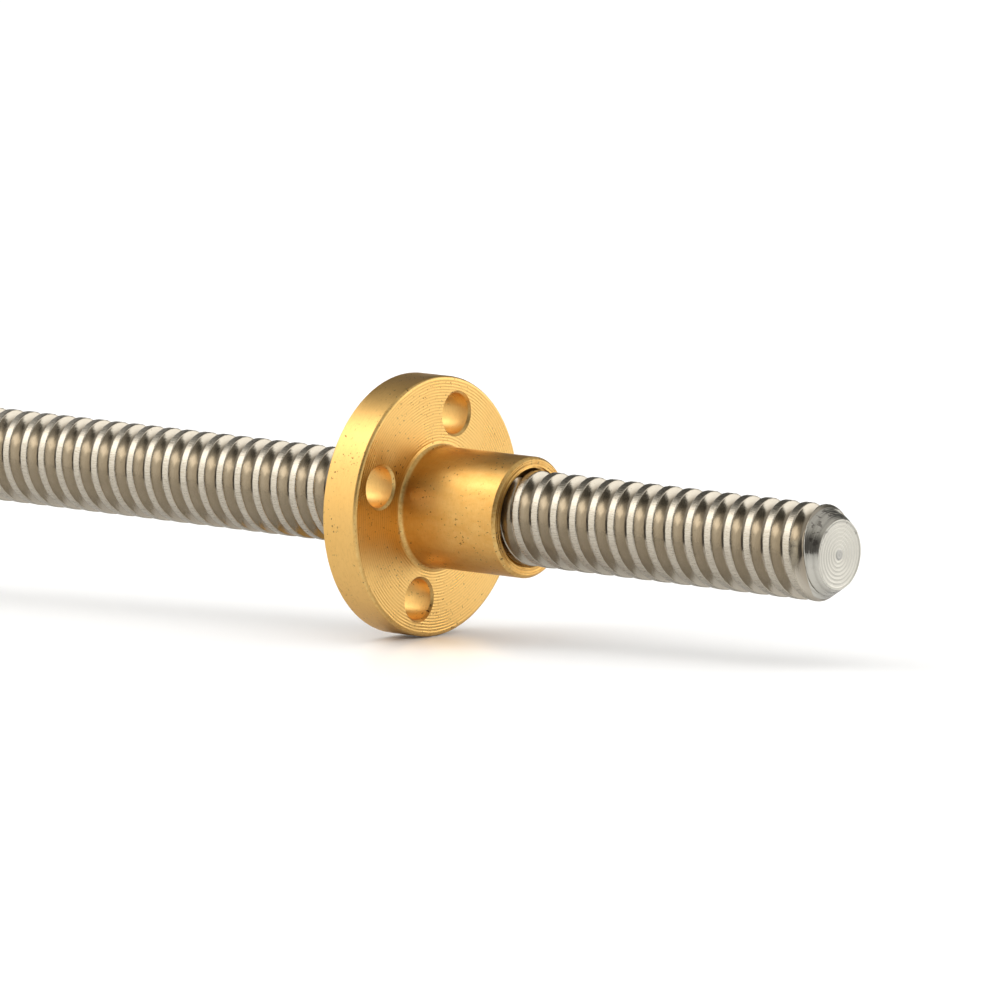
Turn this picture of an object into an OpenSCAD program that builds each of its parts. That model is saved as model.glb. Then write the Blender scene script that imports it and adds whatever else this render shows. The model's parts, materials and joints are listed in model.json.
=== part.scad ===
// Stepper motor of frame size 17 whose shaft is a lead screw, with its flanged nut.
// Origin at the centre of the motor's front face. +X runs along the screw to its free
// end, and +Z is up, away from the side the motor lies on.

/* [Motor body] */
// Width across the flats of the square body
motor_w = 42.3; // [42:0.1:43]
// Distance from the axis to the flat on each corner
corner_reach = 26; // [25.6:0.1:27]
// Length of the laminated stator stack
stack_l = 20; // [20:0.5:30]
// Length of each end bell
bell_l = 10; // [10:0.5:12]
// Spacing of the four screws on the front face
bolt_spacing = 31; // [31:0.1:31]
// Depth of the tapped mounting holes
tap_depth = 4.5; // [4:0.1:5]
// Diameter of the pilot boss
pilot_d = 22; // [22:0.1:22]
// Height of the pilot boss
pilot_h = 2; // [1.5:0.1:2.5]

/* [Lead screw] */
// Length of screw in front of the motor
screw_l = 300; // [150:1:300]
// Diameter over the thread crests
screw_d = 8; // [8:0.1:8]
// Diameter at the bottom of the thread
root_d = 6; // [5.8:0.1:6.2]
// Advance of the nut in one turn
lead = 4; // [2:2:8]
// Number of thread starts
starts = 2; // [1:1:4]
// Angle of a thread crest at the front face, from +Y towards +Z
thread_phase = 42; // [0:1:179]
// Length of the chamfer at the free end
tip_l = 1.7; // [0.5:0.1:2]
// Depth of that chamfer below the thread's crest
tip_depth = 1.1; // [0.5:0.1:1.5]

/* [Nut] */
// Diameter of the flange
flange_d = 22; // [22:0.1:24]
// Thickness of the flange
flange_t = 3.5; // [3:0.1:5]
// Diameter of the barrel
barrel_d = 10.2; // [10:0.1:10.2]
// Length of the barrel, in front of the flange
barrel_l = 10; // [8:0.5:12]
// Length of the short boss behind the flange
boss_l = 1.5; // [1:0.1:2]
// Diameter of the circle that the flange holes lie on
hole_circle_d = 16; // [16:0.1:16]
// Diameter of the flange holes
hole_d = 3.5; // [3.4:0.1:3.6]
// Angle of the first flange hole, from +Y towards +Z
hole_phase = 74.3; // [0:0.1:90]
// Distance from the screw's free end to the flange's front face at rest
nut_from_end = 41.9; // [15:0.1:60]
// Radial gap between the nut's thread and the screw's
thread_gap = 0.35; // [0.2:0.05:0.4]

/* [Bearings] */
// Bore of both bearings
bearing_bore = 5; // [5:0.1:5]
// Outer diameter of both bearings
bearing_d = 16; // [16:0.1:16]
// Width of both bearings
bearing_w = 5; // [5:0.1:5]
// Number of balls in a bearing
ball_count = 7; // [6:1:8]
// Clearance of a ball in its race
ball_gap = 0.04; // [0.02:0.01:0.08]

/* [Windings and rotor] */
// Number of stator poles, each with its coil
pole_count = 8; // [8:1:8]
// Number of teeth on each rotor core
rotor_teeth = 50; // [50:1:50]
// Number of teeth on each stator pole
pole_teeth = 6; // [5:1:6]
// Outer diameter of the rotor
rotor_d = 22; // [22:0.1:22]
// Radial air gap between rotor and stator
air_gap = 0.15; // [0.1:0.01:0.2]
// Number of pins in the connector
pin_count = 6; // [4:1:6]

/* [Hidden] */
$fn = 96;
eps = 0.01;
part_gap = 0.05;

// Stations along the screw's axis
stack_front_x = -bell_l;
stack_rear_x = -bell_l - stack_l;
motor_rear_x = stack_rear_x - bell_l;
front_bearing_x = -2.5 - bearing_w / 2;
rear_bearing_x = stack_rear_x - 1.5 - bearing_w / 2;
rotor_front_x = stack_front_x - 0.5;
rotor_rear_x = stack_rear_x + 0.5;
magnet_t = 1.6;
rotor_mid_x = (rotor_front_x + rotor_rear_x) / 2;
flange_front_x = screw_l - nut_from_end;
flange_rear_x = flange_front_x - flange_t;

// Radii and depths inside the motor
pocket_r = 19.3;
hub_r = 10.4;
front_pocket_depth = 4.4;
rear_pocket_depth = 4.4;
shaft_hole_r = 5;
shoulder_r = 3.5;
screw_clear_r = 1.7;
housing_screw_r = 1.45;
tap_r = 1.25;
head_r = 2.7;
head_h = 2;
head_recess_r = 3;
head_recess_depth = 2.4;

// Stator
stator_r = rotor_d / 2 + air_gap;
back_iron_r = 18.2;
neck_w = 4.2;
shoe_r = 13;
shoe_half_angle = 19.9;
tooth_pitch = 360 / rotor_teeth;
tooth_slot_w = 0.75;
tooth_slot_depth = 0.7;

// Insulators and coils
sheet_t = 0.8;
liner_t = 0.5;
liner_in = neck_w / 2 + part_gap;
coil_in = liner_in + liner_t + part_gap;
coil_out = 4.9;
coil_r0 = 13.6;
coil_r1 = 17.2;
coil_end = 2.35;
lip_h = 3.2;

// Bearings
ball_pitch_r = (bearing_bore + bearing_d) / 4;
race_r = 1.5;
ball_r = race_r - ball_gap;
inner_ring_r = 4.2;
outer_ring_r = 6.3;
shield_t = 0.25;
shield_inset = 0.1;
washer_t = 0.35;

// Connector on the rear bell
conn_x0 = motor_rear_x + 0.7;
conn_l = 5.9;
conn_w = 16;
conn_z0 = 15.6;
conn_z1 = 24;
conn_wall = 0.65;
conn_floor = 1.6;
pin_pitch = 2;
pin_w = 0.5;
board_t = 0.8;
board_x = stack_rear_x - 3.4;
tail_drop = 1;

// Thread section: each start is a crest arc, a flank, a root arc and a flank
start_angle = 360 / starts;
crest_share = 0.37;
root_share = 0.33;
slices_per_turn = 8;
nut_slices_per_turn = 24;
screw_root_corners = [0.5 - root_share / 2, 0.5 + root_share / 2];
nut_root_corners = [0.5 - root_share / 2, 0.5, 0.5 + root_share / 2];
thread_from = 0.5;

// Turns a shape built along +Z so that it runs along +X, with its own X on +Y.
module along_x(x = 0) {
    translate([x, 0, 0])
        rotate([90, 0, 90])
            children();
}

// A round bar or hole between two stations on the screw's axis.
module bar(x0, x1, r) {
    along_x(x0)
        cylinder(h = x1 - x0, r = r);
}

// A ring between two stations on the screw's axis.
module ring(x0, x1, r_in, r_out) {
    difference() {
        bar(x0, x1, r_out);
        bar(x0 - eps, x1 + eps, r_in);
    }
}

// Puts a copy at each of the four motor screws.
module at_screws() {
    for (y = [-1, 1], z = [-1, 1])
        translate([0, y * bolt_spacing / 2, z * bolt_spacing / 2])
            children();
}

// The square body section with its four corner flats.
module body_section(w, reach) {
    intersection() {
        square(w, center = true);
        rotate(45)
            square(2 * reach, center = true);
    }
}

// A block of the motor's square body between two stations.
module body_block(x0, x1, w, reach) {
    along_x(x0)
        linear_extrude(x1 - x0)
            body_section(w, reach);
}

// ---- Motor shell ----

module front_end_bell() {
    color("silver")
        difference() {
            union() {
                body_block(-bell_l, 0, motor_w, corner_reach);
                bar(-eps, pilot_h, pilot_d / 2);
            }
            // coil pocket around the bearing hub
            difference() {
                bar(-bell_l - eps, -bell_l + front_pocket_depth, pocket_r);
                bar(-bell_l - 2 * eps, -bell_l + front_pocket_depth + eps, hub_r);
            }
            // rotor clearance in front of the hub
            bar(-bell_l - eps, -bell_l + 1.5, hub_r + 1);
            // bearing seat and hole for the screw
            bar(-bell_l - eps, front_bearing_x + bearing_w / 2, bearing_d / 2);
            bar(front_bearing_x, pilot_h + eps, shaft_hole_r);
            at_screws() {
                bar(-tap_depth, eps, tap_r);
                bar(-bell_l - eps, -tap_depth - 1, housing_screw_r + part_gap);
            }
        }
}

module rear_end_bell() {
    color("silver")
        difference() {
            body_block(motor_rear_x, stack_rear_x, motor_w, corner_reach);
            // coil pocket around the bearing hub
            difference() {
                bar(stack_rear_x - rear_pocket_depth, stack_rear_x + eps, pocket_r);
                bar(stack_rear_x - rear_pocket_depth - eps, stack_rear_x + 2 * eps, hub_r);
            }
            // rotor clearance in front of the hub
            bar(stack_rear_x - 1, stack_rear_x + eps, hub_r + 1);
            // bearing seat with room for the washer, and the shaft's end pocket
            bar(rear_bearing_x - bearing_w / 2 - washer_t, stack_rear_x + eps, bearing_d / 2);
            bar(motor_rear_x + 1, rear_bearing_x, shoulder_r);
            // window for the connector
            translate([conn_x0 - part_gap, -conn_w / 2 - part_gap, conn_z0 - part_gap])
                cube([conn_l + 2 * part_gap, conn_w + 2 * part_gap, motor_w]);
            // room for the pins' tails under the connector
            translate([conn_x0 + conn_l / 2 - 1, -pin_count * pin_pitch / 2, conn_z0 - tail_drop - 0.3])
                cube([conn_l, pin_count * pin_pitch, tail_drop + 0.3 + eps]);
            at_screws() {
                bar(motor_rear_x - eps, stack_rear_x + eps, screw_clear_r);
                bar(motor_rear_x - eps, motor_rear_x + head_recess_depth, head_recess_r);
            }
        }
}

module housing_screws() {
    color("dimgray")
        at_screws()
            difference() {
                union() {
                    bar(motor_rear_x + head_recess_depth - head_h,
                        motor_rear_x + head_recess_depth, head_r);
                    bar(motor_rear_x + head_recess_depth - eps, -tap_depth - 1.4, housing_screw_r);
                }
                // cross recess
                for (turn = [0, 90])
                    rotate([turn, 0, 0])
                        translate([motor_rear_x, -head_r * 0.65, -0.35])
                            cube([head_recess_depth - head_h + 1.1, head_r * 1.3, 0.7]);
            }
}

// ---- Stator ----

// One pole: a neck in from the back iron and a wide shoe facing the rotor.
module pole_section() {
    translate([shoe_r - 0.6, -neck_w / 2])
        square([back_iron_r - shoe_r + 1, neck_w]);
    intersection() {
        difference() {
            circle(shoe_r);
            circle(stator_r);
        }
        polygon([[0, 0],
            [2 * shoe_r, -2 * shoe_r * tan(shoe_half_angle)],
            [2 * shoe_r, 2 * shoe_r * tan(shoe_half_angle)]]);
    }
}

module stator_section() {
    difference() {
        union() {
            difference() {
                body_section(motor_w - 0.3, corner_reach - 0.5);
                circle(back_iron_r);
            }
            for (i = [0:pole_count - 1])
                rotate(i * 360 / pole_count)
                    pole_section();
        }
        for (i = [0:pole_count - 1], j = [1:pole_teeth - 1])
            rotate(i * 360 / pole_count + (j - pole_teeth / 2) * tooth_pitch)
                translate([stator_r - 0.2, -tooth_slot_w / 2])
                    square([tooth_slot_depth + 0.2, tooth_slot_w]);
        for (y = [-1, 1], z = [-1, 1])
            translate([y, z] * bolt_spacing / 2)
                circle(screw_clear_r);
    }
}

module stator_core() {
    color("dimgray")
        along_x(stack_rear_x)
            linear_extrude(stack_l)
                stator_section();
}

// Places a shape built on the +Y pole at pole i.
module at_pole(i) {
    rotate([i * 360 / pole_count, 0, 0])
        children();
}

// A box given by its radial span, half width across the pole and span along the axis.
module pole_box(r0, r1, half_w, x0, x1) {
    translate([x0, r0, -half_w])
        cube([x1 - x0, r1 - r0, 2 * half_w]);
}

// Insulator on the front of the stack: caps, slot liners, inner lips and an outer rim.
module insulator() {
    for (i = [0:pole_count - 1])
        at_pole(i) {
            pole_box(12.6, 18.2, coil_in - part_gap, 0, sheet_t);
            pole_box(12.6, 13.4, coil_out - 0.3, 0, lip_h);
            for (side = [-1, 1])
                translate([-stack_l / 2 + part_gap, 13.4, side * (liner_in + liner_t / 2) - liner_t / 2])
                    cube([stack_l / 2 - part_gap + eps, coil_r1 - 13.4, liner_t]);
        }
    ring(0, sheet_t, 17.9, 19.1);
    ring(sheet_t - eps, lip_h, 18.5, 19.1);
}

module front_insulator() {
    color("ivory")
        translate([stack_front_x, 0, 0])
            insulator();
}

module rear_insulator() {
    color("ivory")
        translate([stack_rear_x, 0, 0])
            mirror([1, 0, 0])
                insulator();
}

// Coil i, wound round its pole and over both insulators.
module coil(i) {
    inner_end = sheet_t + part_gap;
    outer_end = sheet_t + coil_end;
    color("chocolate")
        at_pole(i - 1)
            difference() {
                pole_box(coil_r0, coil_r1, coil_out,
                    stack_rear_x - outer_end, stack_front_x + outer_end);
                pole_box(coil_r0 - 1, coil_r1 + 1, coil_in,
                    stack_rear_x - inner_end, stack_front_x + inner_end);
            }
}

// ---- Connector ----

module connector_housing() {
    color("white")
        difference() {
            translate([conn_x0, -conn_w / 2, conn_z0])
                cube([conn_l, conn_w, conn_z1 - conn_z0]);
            translate([conn_x0 + conn_wall, -conn_w / 2 + conn_wall, conn_z0 + conn_floor])
                cube([conn_l - 2 * conn_wall, conn_w - 2 * conn_wall, conn_z1]);
            // key slots in the rear wall
            for (side = [-1, 1])
                translate([conn_x0 - eps, side * 4 - 0.6, conn_z1 - 4])
                    cube([conn_wall + 2 * eps, 1.2, 5]);
            for (i = [0:pin_count - 1])
                pin_post(i, pin_w + 2 * part_gap, conn_z0 - 1, conn_z1);
        }
}

// The upright part of pin i, as a square bar of width w.
module pin_post(i, w, z0, z1) {
    translate([conn_x0 + conn_l / 2 - w / 2, (i - (pin_count - 1) / 2) * pin_pitch - w / 2, z0])
        cube([w, w, z1 - z0]);
}

module connector_pins() {
    tail_z = conn_z0 - tail_drop;
    color("gold")
        for (i = [0:pin_count - 1]) {
            pin_post(i, pin_w, tail_z, conn_z1 - 2.5);
            translate([conn_x0 + conn_l / 2 - pin_w / 2,
                (i - (pin_count - 1) / 2) * pin_pitch - pin_w / 2, tail_z])
                cube([board_x - board_t - conn_x0 - conn_l / 2 + pin_w / 2, pin_w, pin_w]);
        }
}

module terminal_board() {
    color("darkgreen")
        difference() {
            ring(board_x - board_t, board_x, hub_r + 0.3, pocket_r - 0.4);
            translate([board_x - 2, -conn_w / 2 - 0.4, conn_z0 - 0.2])
                cube([4, conn_w + 0.8, motor_w]);
        }
}

// ---- Bearings ----

// Outer ring centred on x = 0, with its race.
module outer_ring() {
    difference() {
        ring(-bearing_w / 2, bearing_w / 2, outer_ring_r, bearing_d / 2);
        along_x()
            rotate_extrude()
                translate([ball_pitch_r, 0])
                    circle(race_r);
        // steps for the shields
        for (side = [-1, 1])
            translate([side * (bearing_w / 2 - (shield_t + shield_inset) / 2), 0, 0])
                bar(-(shield_t + shield_inset) / 2 - eps, (shield_t + shield_inset) / 2 + eps,
                    outer_ring_r + 0.5);
    }
}

module inner_ring() {
    difference() {
        ring(-bearing_w / 2, bearing_w / 2, bearing_bore / 2, inner_ring_r);
        along_x()
            rotate_extrude()
                translate([ball_pitch_r, 0])
                    circle(race_r);
    }
}

module shields() {
    for (side = [0, 1])
        mirror([side, 0, 0])
            ring(bearing_w / 2 - shield_inset - shield_t, bearing_w / 2 - shield_inset,
                inner_ring_r + 0.15, outer_ring_r + 0.5);
}

// Places a shape at each ball centre.
module at_balls() {
    for (i = [0:ball_count - 1])
        rotate([i * 360 / ball_count, 0, 0])
            translate([0, ball_pitch_r, 0])
                children();
}

module balls() {
    at_balls()
        sphere(ball_r, $fn = 48);
}

// Crown cage: a back ring whose fingers reach between the balls.
module cage() {
    difference() {
        ring(-0.9, race_r + 0.55, ball_pitch_r - 0.5, ball_pitch_r + 0.5);
        at_balls()
            rotate([90, 0, 0])
                cylinder(h = 4, r = race_r + ball_gap / 2, center = true);
    }
}

module at_front_bearing() {
    translate([front_bearing_x, 0, 0])
        children();
}

module at_rear_bearing() {
    translate([rear_bearing_x, 0, 0])
        mirror([1, 0, 0])
            children();
}

module front_bearing_outer_ring() {
    color("lightsteelblue")
        at_front_bearing()
            outer_ring();
}

module rear_bearing_outer_ring() {
    color("lightsteelblue")
        at_rear_bearing()
            outer_ring();
}

module front_bearing_inner_ring() {
    color("lightsteelblue")
        at_front_bearing()
            inner_ring();
}

module rear_bearing_inner_ring() {
    color("lightsteelblue")
        at_rear_bearing()
            inner_ring();
}

module front_bearing_shields() {
    color("gainsboro")
        at_front_bearing()
            shields();
}

module rear_bearing_shields() {
    color("gainsboro")
        at_rear_bearing()
            shields();
}

module front_bearing_balls() {
    color("white")
        at_front_bearing()
            balls();
}

module rear_bearing_balls() {
    color("white")
        at_rear_bearing()
            balls();
}

module front_bearing_cage() {
    color("goldenrod")
        at_front_bearing()
            cage();
}

module rear_bearing_cage() {
    color("goldenrod")
        at_rear_bearing()
            cage();
}

module preload_washer() {
    washer_x = rear_bearing_x - bearing_w / 2 - washer_t;
    color("silver")
        ring(washer_x, washer_x + washer_t, outer_ring_r - 0.2, bearing_d / 2 - 0.3);
}

// ---- Rotor ----

// A toothed core between two stations, its teeth turned by the given angle.
module toothed_core(x0, x1, turn) {
    along_x(x0)
        linear_extrude(x1 - x0)
            difference() {
                circle(rotor_d / 2);
                circle(bearing_bore / 2);
                for (i = [0:rotor_teeth - 1])
                    rotate(i * tooth_pitch + turn)
                        translate([rotor_d / 2 - tooth_slot_depth, -tooth_slot_w / 2])
                            square([tooth_slot_depth + 1, tooth_slot_w]);
            }
}

module front_rotor_core() {
    color("slategray")
        toothed_core(rotor_mid_x + magnet_t / 2, rotor_front_x, 0);
}

module rear_rotor_core() {
    color("slategray")
        toothed_core(rotor_rear_x, rotor_mid_x - magnet_t / 2, tooth_pitch / 2);
}

module rotor_magnet() {
    color("darkslategray")
        ring(rotor_mid_x - magnet_t / 2, rotor_mid_x + magnet_t / 2, bearing_bore / 2, rotor_d / 2 - 1.2);
}

module front_spacer() {
    color("khaki")
        ring(rotor_front_x, front_bearing_x - bearing_w / 2, bearing_bore / 2, inner_ring_r - 0.4);
}

module rear_spacer() {
    color("khaki")
        ring(rear_bearing_x + bearing_w / 2, rotor_rear_x, bearing_bore / 2, inner_ring_r - 0.4);
}

// ---- Lead screw and nut ----

// Corners of the thread's section: for each start, the two ends and the middle of the
// crest, then the corners of the root, which are given as shares of a start.
function thread_points(crest_r, root_r, root_corners) = [
    for (i = [0:starts - 1])
        for (corner = concat([for (c = [-1, 0, 1]) [c * crest_share / 2, crest_r]],
                             [for (c = root_corners) [c, root_r]]))
            let (a = (i + corner[0]) * start_angle)
            corner[1] * [cos(a), sin(a)]
];

// A right-handed thread between two stations, in step with the screw's own thread.
module thread(x0, x1, crest_r, root_r, root_corners, per_turn) {
    turns = (x1 - x0) / lead;
    along_x(x0)
        rotate(thread_phase + x0 / lead * 360)
            linear_extrude(x1 - x0, twist = -360 * turns, slices = round(turns * per_turn),
                segments = (3 + len(root_corners)) * starts)
                polygon(thread_points(crest_r, root_r, root_corners));
}

module lead_screw() {
    color("darkgray") {
        // thread, cut back to the chamfer at the free end
        difference() {
            thread(thread_from, screw_l, screw_d / 2, root_d / 2, screw_root_corners,
                slices_per_turn);
            difference() {
                bar(screw_l - tip_l, screw_l + 1, screw_d);
                along_x(screw_l - tip_l)
                    cylinder(h = tip_l, r1 = screw_d / 2, r2 = screw_d / 2 - tip_depth);
            }
        }
        // shoulder that rests on the front bearing, and the journal through the motor,
        // which starts inside the thread's core
        bar(front_bearing_x + bearing_w / 2, thread_from, shoulder_r);
        bar(rear_bearing_x - bearing_w / 2 - 1.2, lead, bearing_bore / 2);
    }
}

module flanged_nut() {
    edge = 0.3;
    collar = 0.45;
    mouth_depth = 1.4;
    flange_r = flange_d / 2;
    barrel_r = barrel_d / 2;
    bore_r = root_d / 2 + thread_gap;
    mouth_r = screw_d / 2 + 0.2;
    mouth_end_r = root_d / 2 - 0.2;
    nut_rear_x = flange_rear_x - boss_l;
    nut_front_x = flange_front_x + barrel_l;
    color("goldenrod")
        difference() {
            // turned outline, from the rear boss to the barrel's end
            along_x(nut_rear_x)
                rotate_extrude()
                    polygon([[0, 0],
                        [barrel_r - edge, 0],
                        [barrel_r, edge],
                        [barrel_r, boss_l],
                        [flange_r - edge, boss_l],
                        [flange_r, boss_l + edge],
                        [flange_r, boss_l + flange_t - edge],
                        [flange_r - edge, boss_l + flange_t],
                        [barrel_r + collar, boss_l + flange_t],
                        [barrel_r, boss_l + flange_t + collar],
                        [barrel_r, boss_l + flange_t + barrel_l - edge],
                        [barrel_r - edge, boss_l + flange_t + barrel_l],
                        [0, boss_l + flange_t + barrel_l]]);
            // countersunk mouths of the bore
            along_x(nut_front_x - mouth_depth)
                cylinder(h = mouth_depth + eps, r1 = mouth_end_r, r2 = mouth_r);
            along_x(nut_rear_x - eps)
                cylinder(h = mouth_depth + eps, r1 = mouth_r, r2 = mouth_end_r);
            // flange holes with a small chamfer at the front
            for (i = [0:3])
                rotate([hole_phase + i * 90, 0, 0])
                    translate([0, hole_circle_d / 2, 0]) {
                        bar(flange_rear_x - 1, flange_front_x + 1, hole_d / 2);
                        along_x(flange_front_x - 0.25)
                            cylinder(h = 0.25 + eps, r1 = hole_d / 2, r2 = hole_d / 2 + 0.25);
                    }
            thread(nut_rear_x - 1, nut_front_x + 1, screw_d / 2 + thread_gap, bore_r,
                nut_root_corners, nut_slices_per_turn);
        }
}

front_end_bell();
stator_core();
rear_end_bell();
front_insulator();
rear_insulator();
for (i = [1:pole_count])
    coil(i);
housing_screws();
connector_housing();
connector_pins();
terminal_board();
front_bearing_outer_ring();
front_bearing_shields();
rear_bearing_outer_ring();
rear_bearing_shields();
preload_washer();
lead_screw();
front_rotor_core();
rear_rotor_core();
rotor_magnet();
front_spacer();
rear_spacer();
front_bearing_inner_ring();
rear_bearing_inner_ring();
front_bearing_balls();
front_bearing_cage();
rear_bearing_balls();
rear_bearing_cage();
flanged_nut();
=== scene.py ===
"""Looks for a stepper motor with a lead screw and a flanged nut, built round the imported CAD."""

import json
import math

import bmesh
import bpy
from mathutils import Matrix, Quaternion, Vector


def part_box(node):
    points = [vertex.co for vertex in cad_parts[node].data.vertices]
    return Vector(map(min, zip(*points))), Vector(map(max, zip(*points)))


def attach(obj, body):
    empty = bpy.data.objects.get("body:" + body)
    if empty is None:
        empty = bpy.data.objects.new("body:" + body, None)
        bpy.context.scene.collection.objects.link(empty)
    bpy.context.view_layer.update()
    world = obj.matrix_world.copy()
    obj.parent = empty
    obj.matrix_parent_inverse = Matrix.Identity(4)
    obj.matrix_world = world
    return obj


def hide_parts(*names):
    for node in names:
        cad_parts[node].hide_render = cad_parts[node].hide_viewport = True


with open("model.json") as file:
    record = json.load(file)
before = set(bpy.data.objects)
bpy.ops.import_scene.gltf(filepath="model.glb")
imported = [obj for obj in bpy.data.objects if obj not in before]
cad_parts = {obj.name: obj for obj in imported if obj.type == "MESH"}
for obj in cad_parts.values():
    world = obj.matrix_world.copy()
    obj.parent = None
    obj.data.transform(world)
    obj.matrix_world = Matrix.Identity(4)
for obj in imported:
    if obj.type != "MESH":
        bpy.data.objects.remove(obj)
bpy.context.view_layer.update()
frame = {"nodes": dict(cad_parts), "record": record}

MM = 0.001
TURN = 2 * math.pi

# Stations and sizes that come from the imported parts, in millimetres.
SCREW_LOW, SCREW_HIGH = (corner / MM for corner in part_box("lead_screw"))
NUT_LOW, NUT_HIGH = (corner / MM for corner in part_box("flanged_nut"))
MOTOR_HALF = -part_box("front_end_bell")[0].z / MM
TIP_X = SCREW_HIGH.x
JOURNAL_END_X = SCREW_LOW.x
CREST_R = SCREW_HIGH.z
FLANGE_R = NUT_HIGH.z

# Thread: right-handed, two starts, in step with the CAD thread.
STARTS = 2
LEAD = 4.0
PITCH = LEAD / STARTS
ROOT_R = 3.0
CREST_HALF = 0.366
THREAD_PHASE = math.radians(42.0)
NUT_GAP = 0.3

# Nut, whose overall box is the CAD's.
BOSS_L = 1.5
FLANGE_T = 3.5
BARREL_R = 5.1
HOLE_CIRCLE_R = 8.0
HOLE_R = 1.75
HOLE_PHASE = math.radians(74.3)
FLANGE_BACK_X = NUT_LOW.x + BOSS_L
FLANGE_FRONT_X = FLANGE_BACK_X + FLANGE_T
MOUTH_R = 4.2

# The screw's turned free end: its chamfer, and how the thread's valleys run out in it.
CHAMFER_L = 1.7
CHAMFER_FROM_X = TIP_X - CHAMFER_L
END_R = CREST_R - 1.1
RUNOUT_FROM_X = TIP_X - 1.35
RUNOUT_L = 0.6
RING_PITCH = 0.34

# The steel sheets of the stator and rotor are 0.5 mm thick.
SHEET_HALF = 0.25

# Distance between rings of points: along the thread, in the chamfer and in the nut's mouths.
THREAD_STEP = LEAD / 30
FINE_STEP = 0.06
MOUTH_STEP = 0.1

# Edges that turn by more than this many degrees stay sharp.
SHARP_ANGLE = 40

# The camera that was fitted to the photo's nut and screw: degrees, and a place in millimetres.
CAMERA_AZIMUTH = 38.404
CAMERA_ELEVATION = 5.174
CAMERA_ROLL = -0.129
CAMERA_LENS = 362.55
CAMERA_PLACE = (TIP_X + 481.1, -655.7, 97.3)

# The motor and flange both touch the floor, so it slopes a little in the part's own frame.
FLOOR_TILT = math.atan2(MOTOR_HALF - FLANGE_R, FLANGE_FRONT_X)
FLOOR_UP = Vector((-math.sin(FLOOR_TILT), 0, math.cos(FLOOR_TILT)))
FLOOR_ALONG = Vector((math.cos(FLOOR_TILT), 0, math.sin(FLOOR_TILT)))

# The studio round the object: a grey, then regions that lie over it, each with the direction of
# its middle, the angles from there where it is full and where it ends, and its colour.
STUDIO_GREY = (0.45, 0.44, 0.41)
STUDIO_REGIONS = [
    ((-0.30, 0.10, 0.95), 25, 60, (0.55, 0.54, 0.52)),
    ((-0.63, -0.78, 0.00), 14, 38, (1.05, 1.04, 1.00)),
    ((-0.63, -0.60, 0.50), 14, 42, (1.55, 1.53, 1.48)),
    ((-0.55, 0.62, 0.56), 22, 42, (0.10, 0.10, 0.095)),
    ((-0.62, 0.78, -0.10), 6, 16, (1.3, 1.3, 1.3)),
    ((0.63, 0.77, -0.10), 20, 50, (1.75, 1.73, 1.67)),
    ((0.52, -0.84, 0.10), 28, 56, (0.10, 0.095, 0.09)),
]


# ---- Camera ----

def add_camera():
    """The camera, looking along the screw from its free end."""
    azimuth = math.radians(CAMERA_AZIMUTH)
    elevation = math.radians(CAMERA_ELEVATION)
    roll = math.radians(CAMERA_ROLL)
    level = math.cos(azimuth) * Vector((0, 1, 0)) - math.sin(azimuth) * FLOOR_ALONG
    forward = math.cos(elevation) * level - math.sin(elevation) * FLOOR_UP
    flat = forward.cross(FLOOR_UP).normalized()
    right = math.cos(roll) * flat + math.sin(roll) * flat.cross(forward)
    camera = bpy.data.objects.new("camera", bpy.data.cameras.new("camera"))
    camera.data.sensor_width = 36
    camera.data.lens = CAMERA_LENS
    camera.data.clip_start = 0.05
    camera.data.clip_end = 50
    turn = Matrix((right, right.cross(forward), -forward)).transposed().to_4x4()
    camera.matrix_world = Matrix.Translation(Vector(CAMERA_PLACE) * MM) @ turn
    bpy.context.scene.collection.objects.link(camera)
    bpy.context.scene.camera = camera


# ---- Node helpers ----

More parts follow.
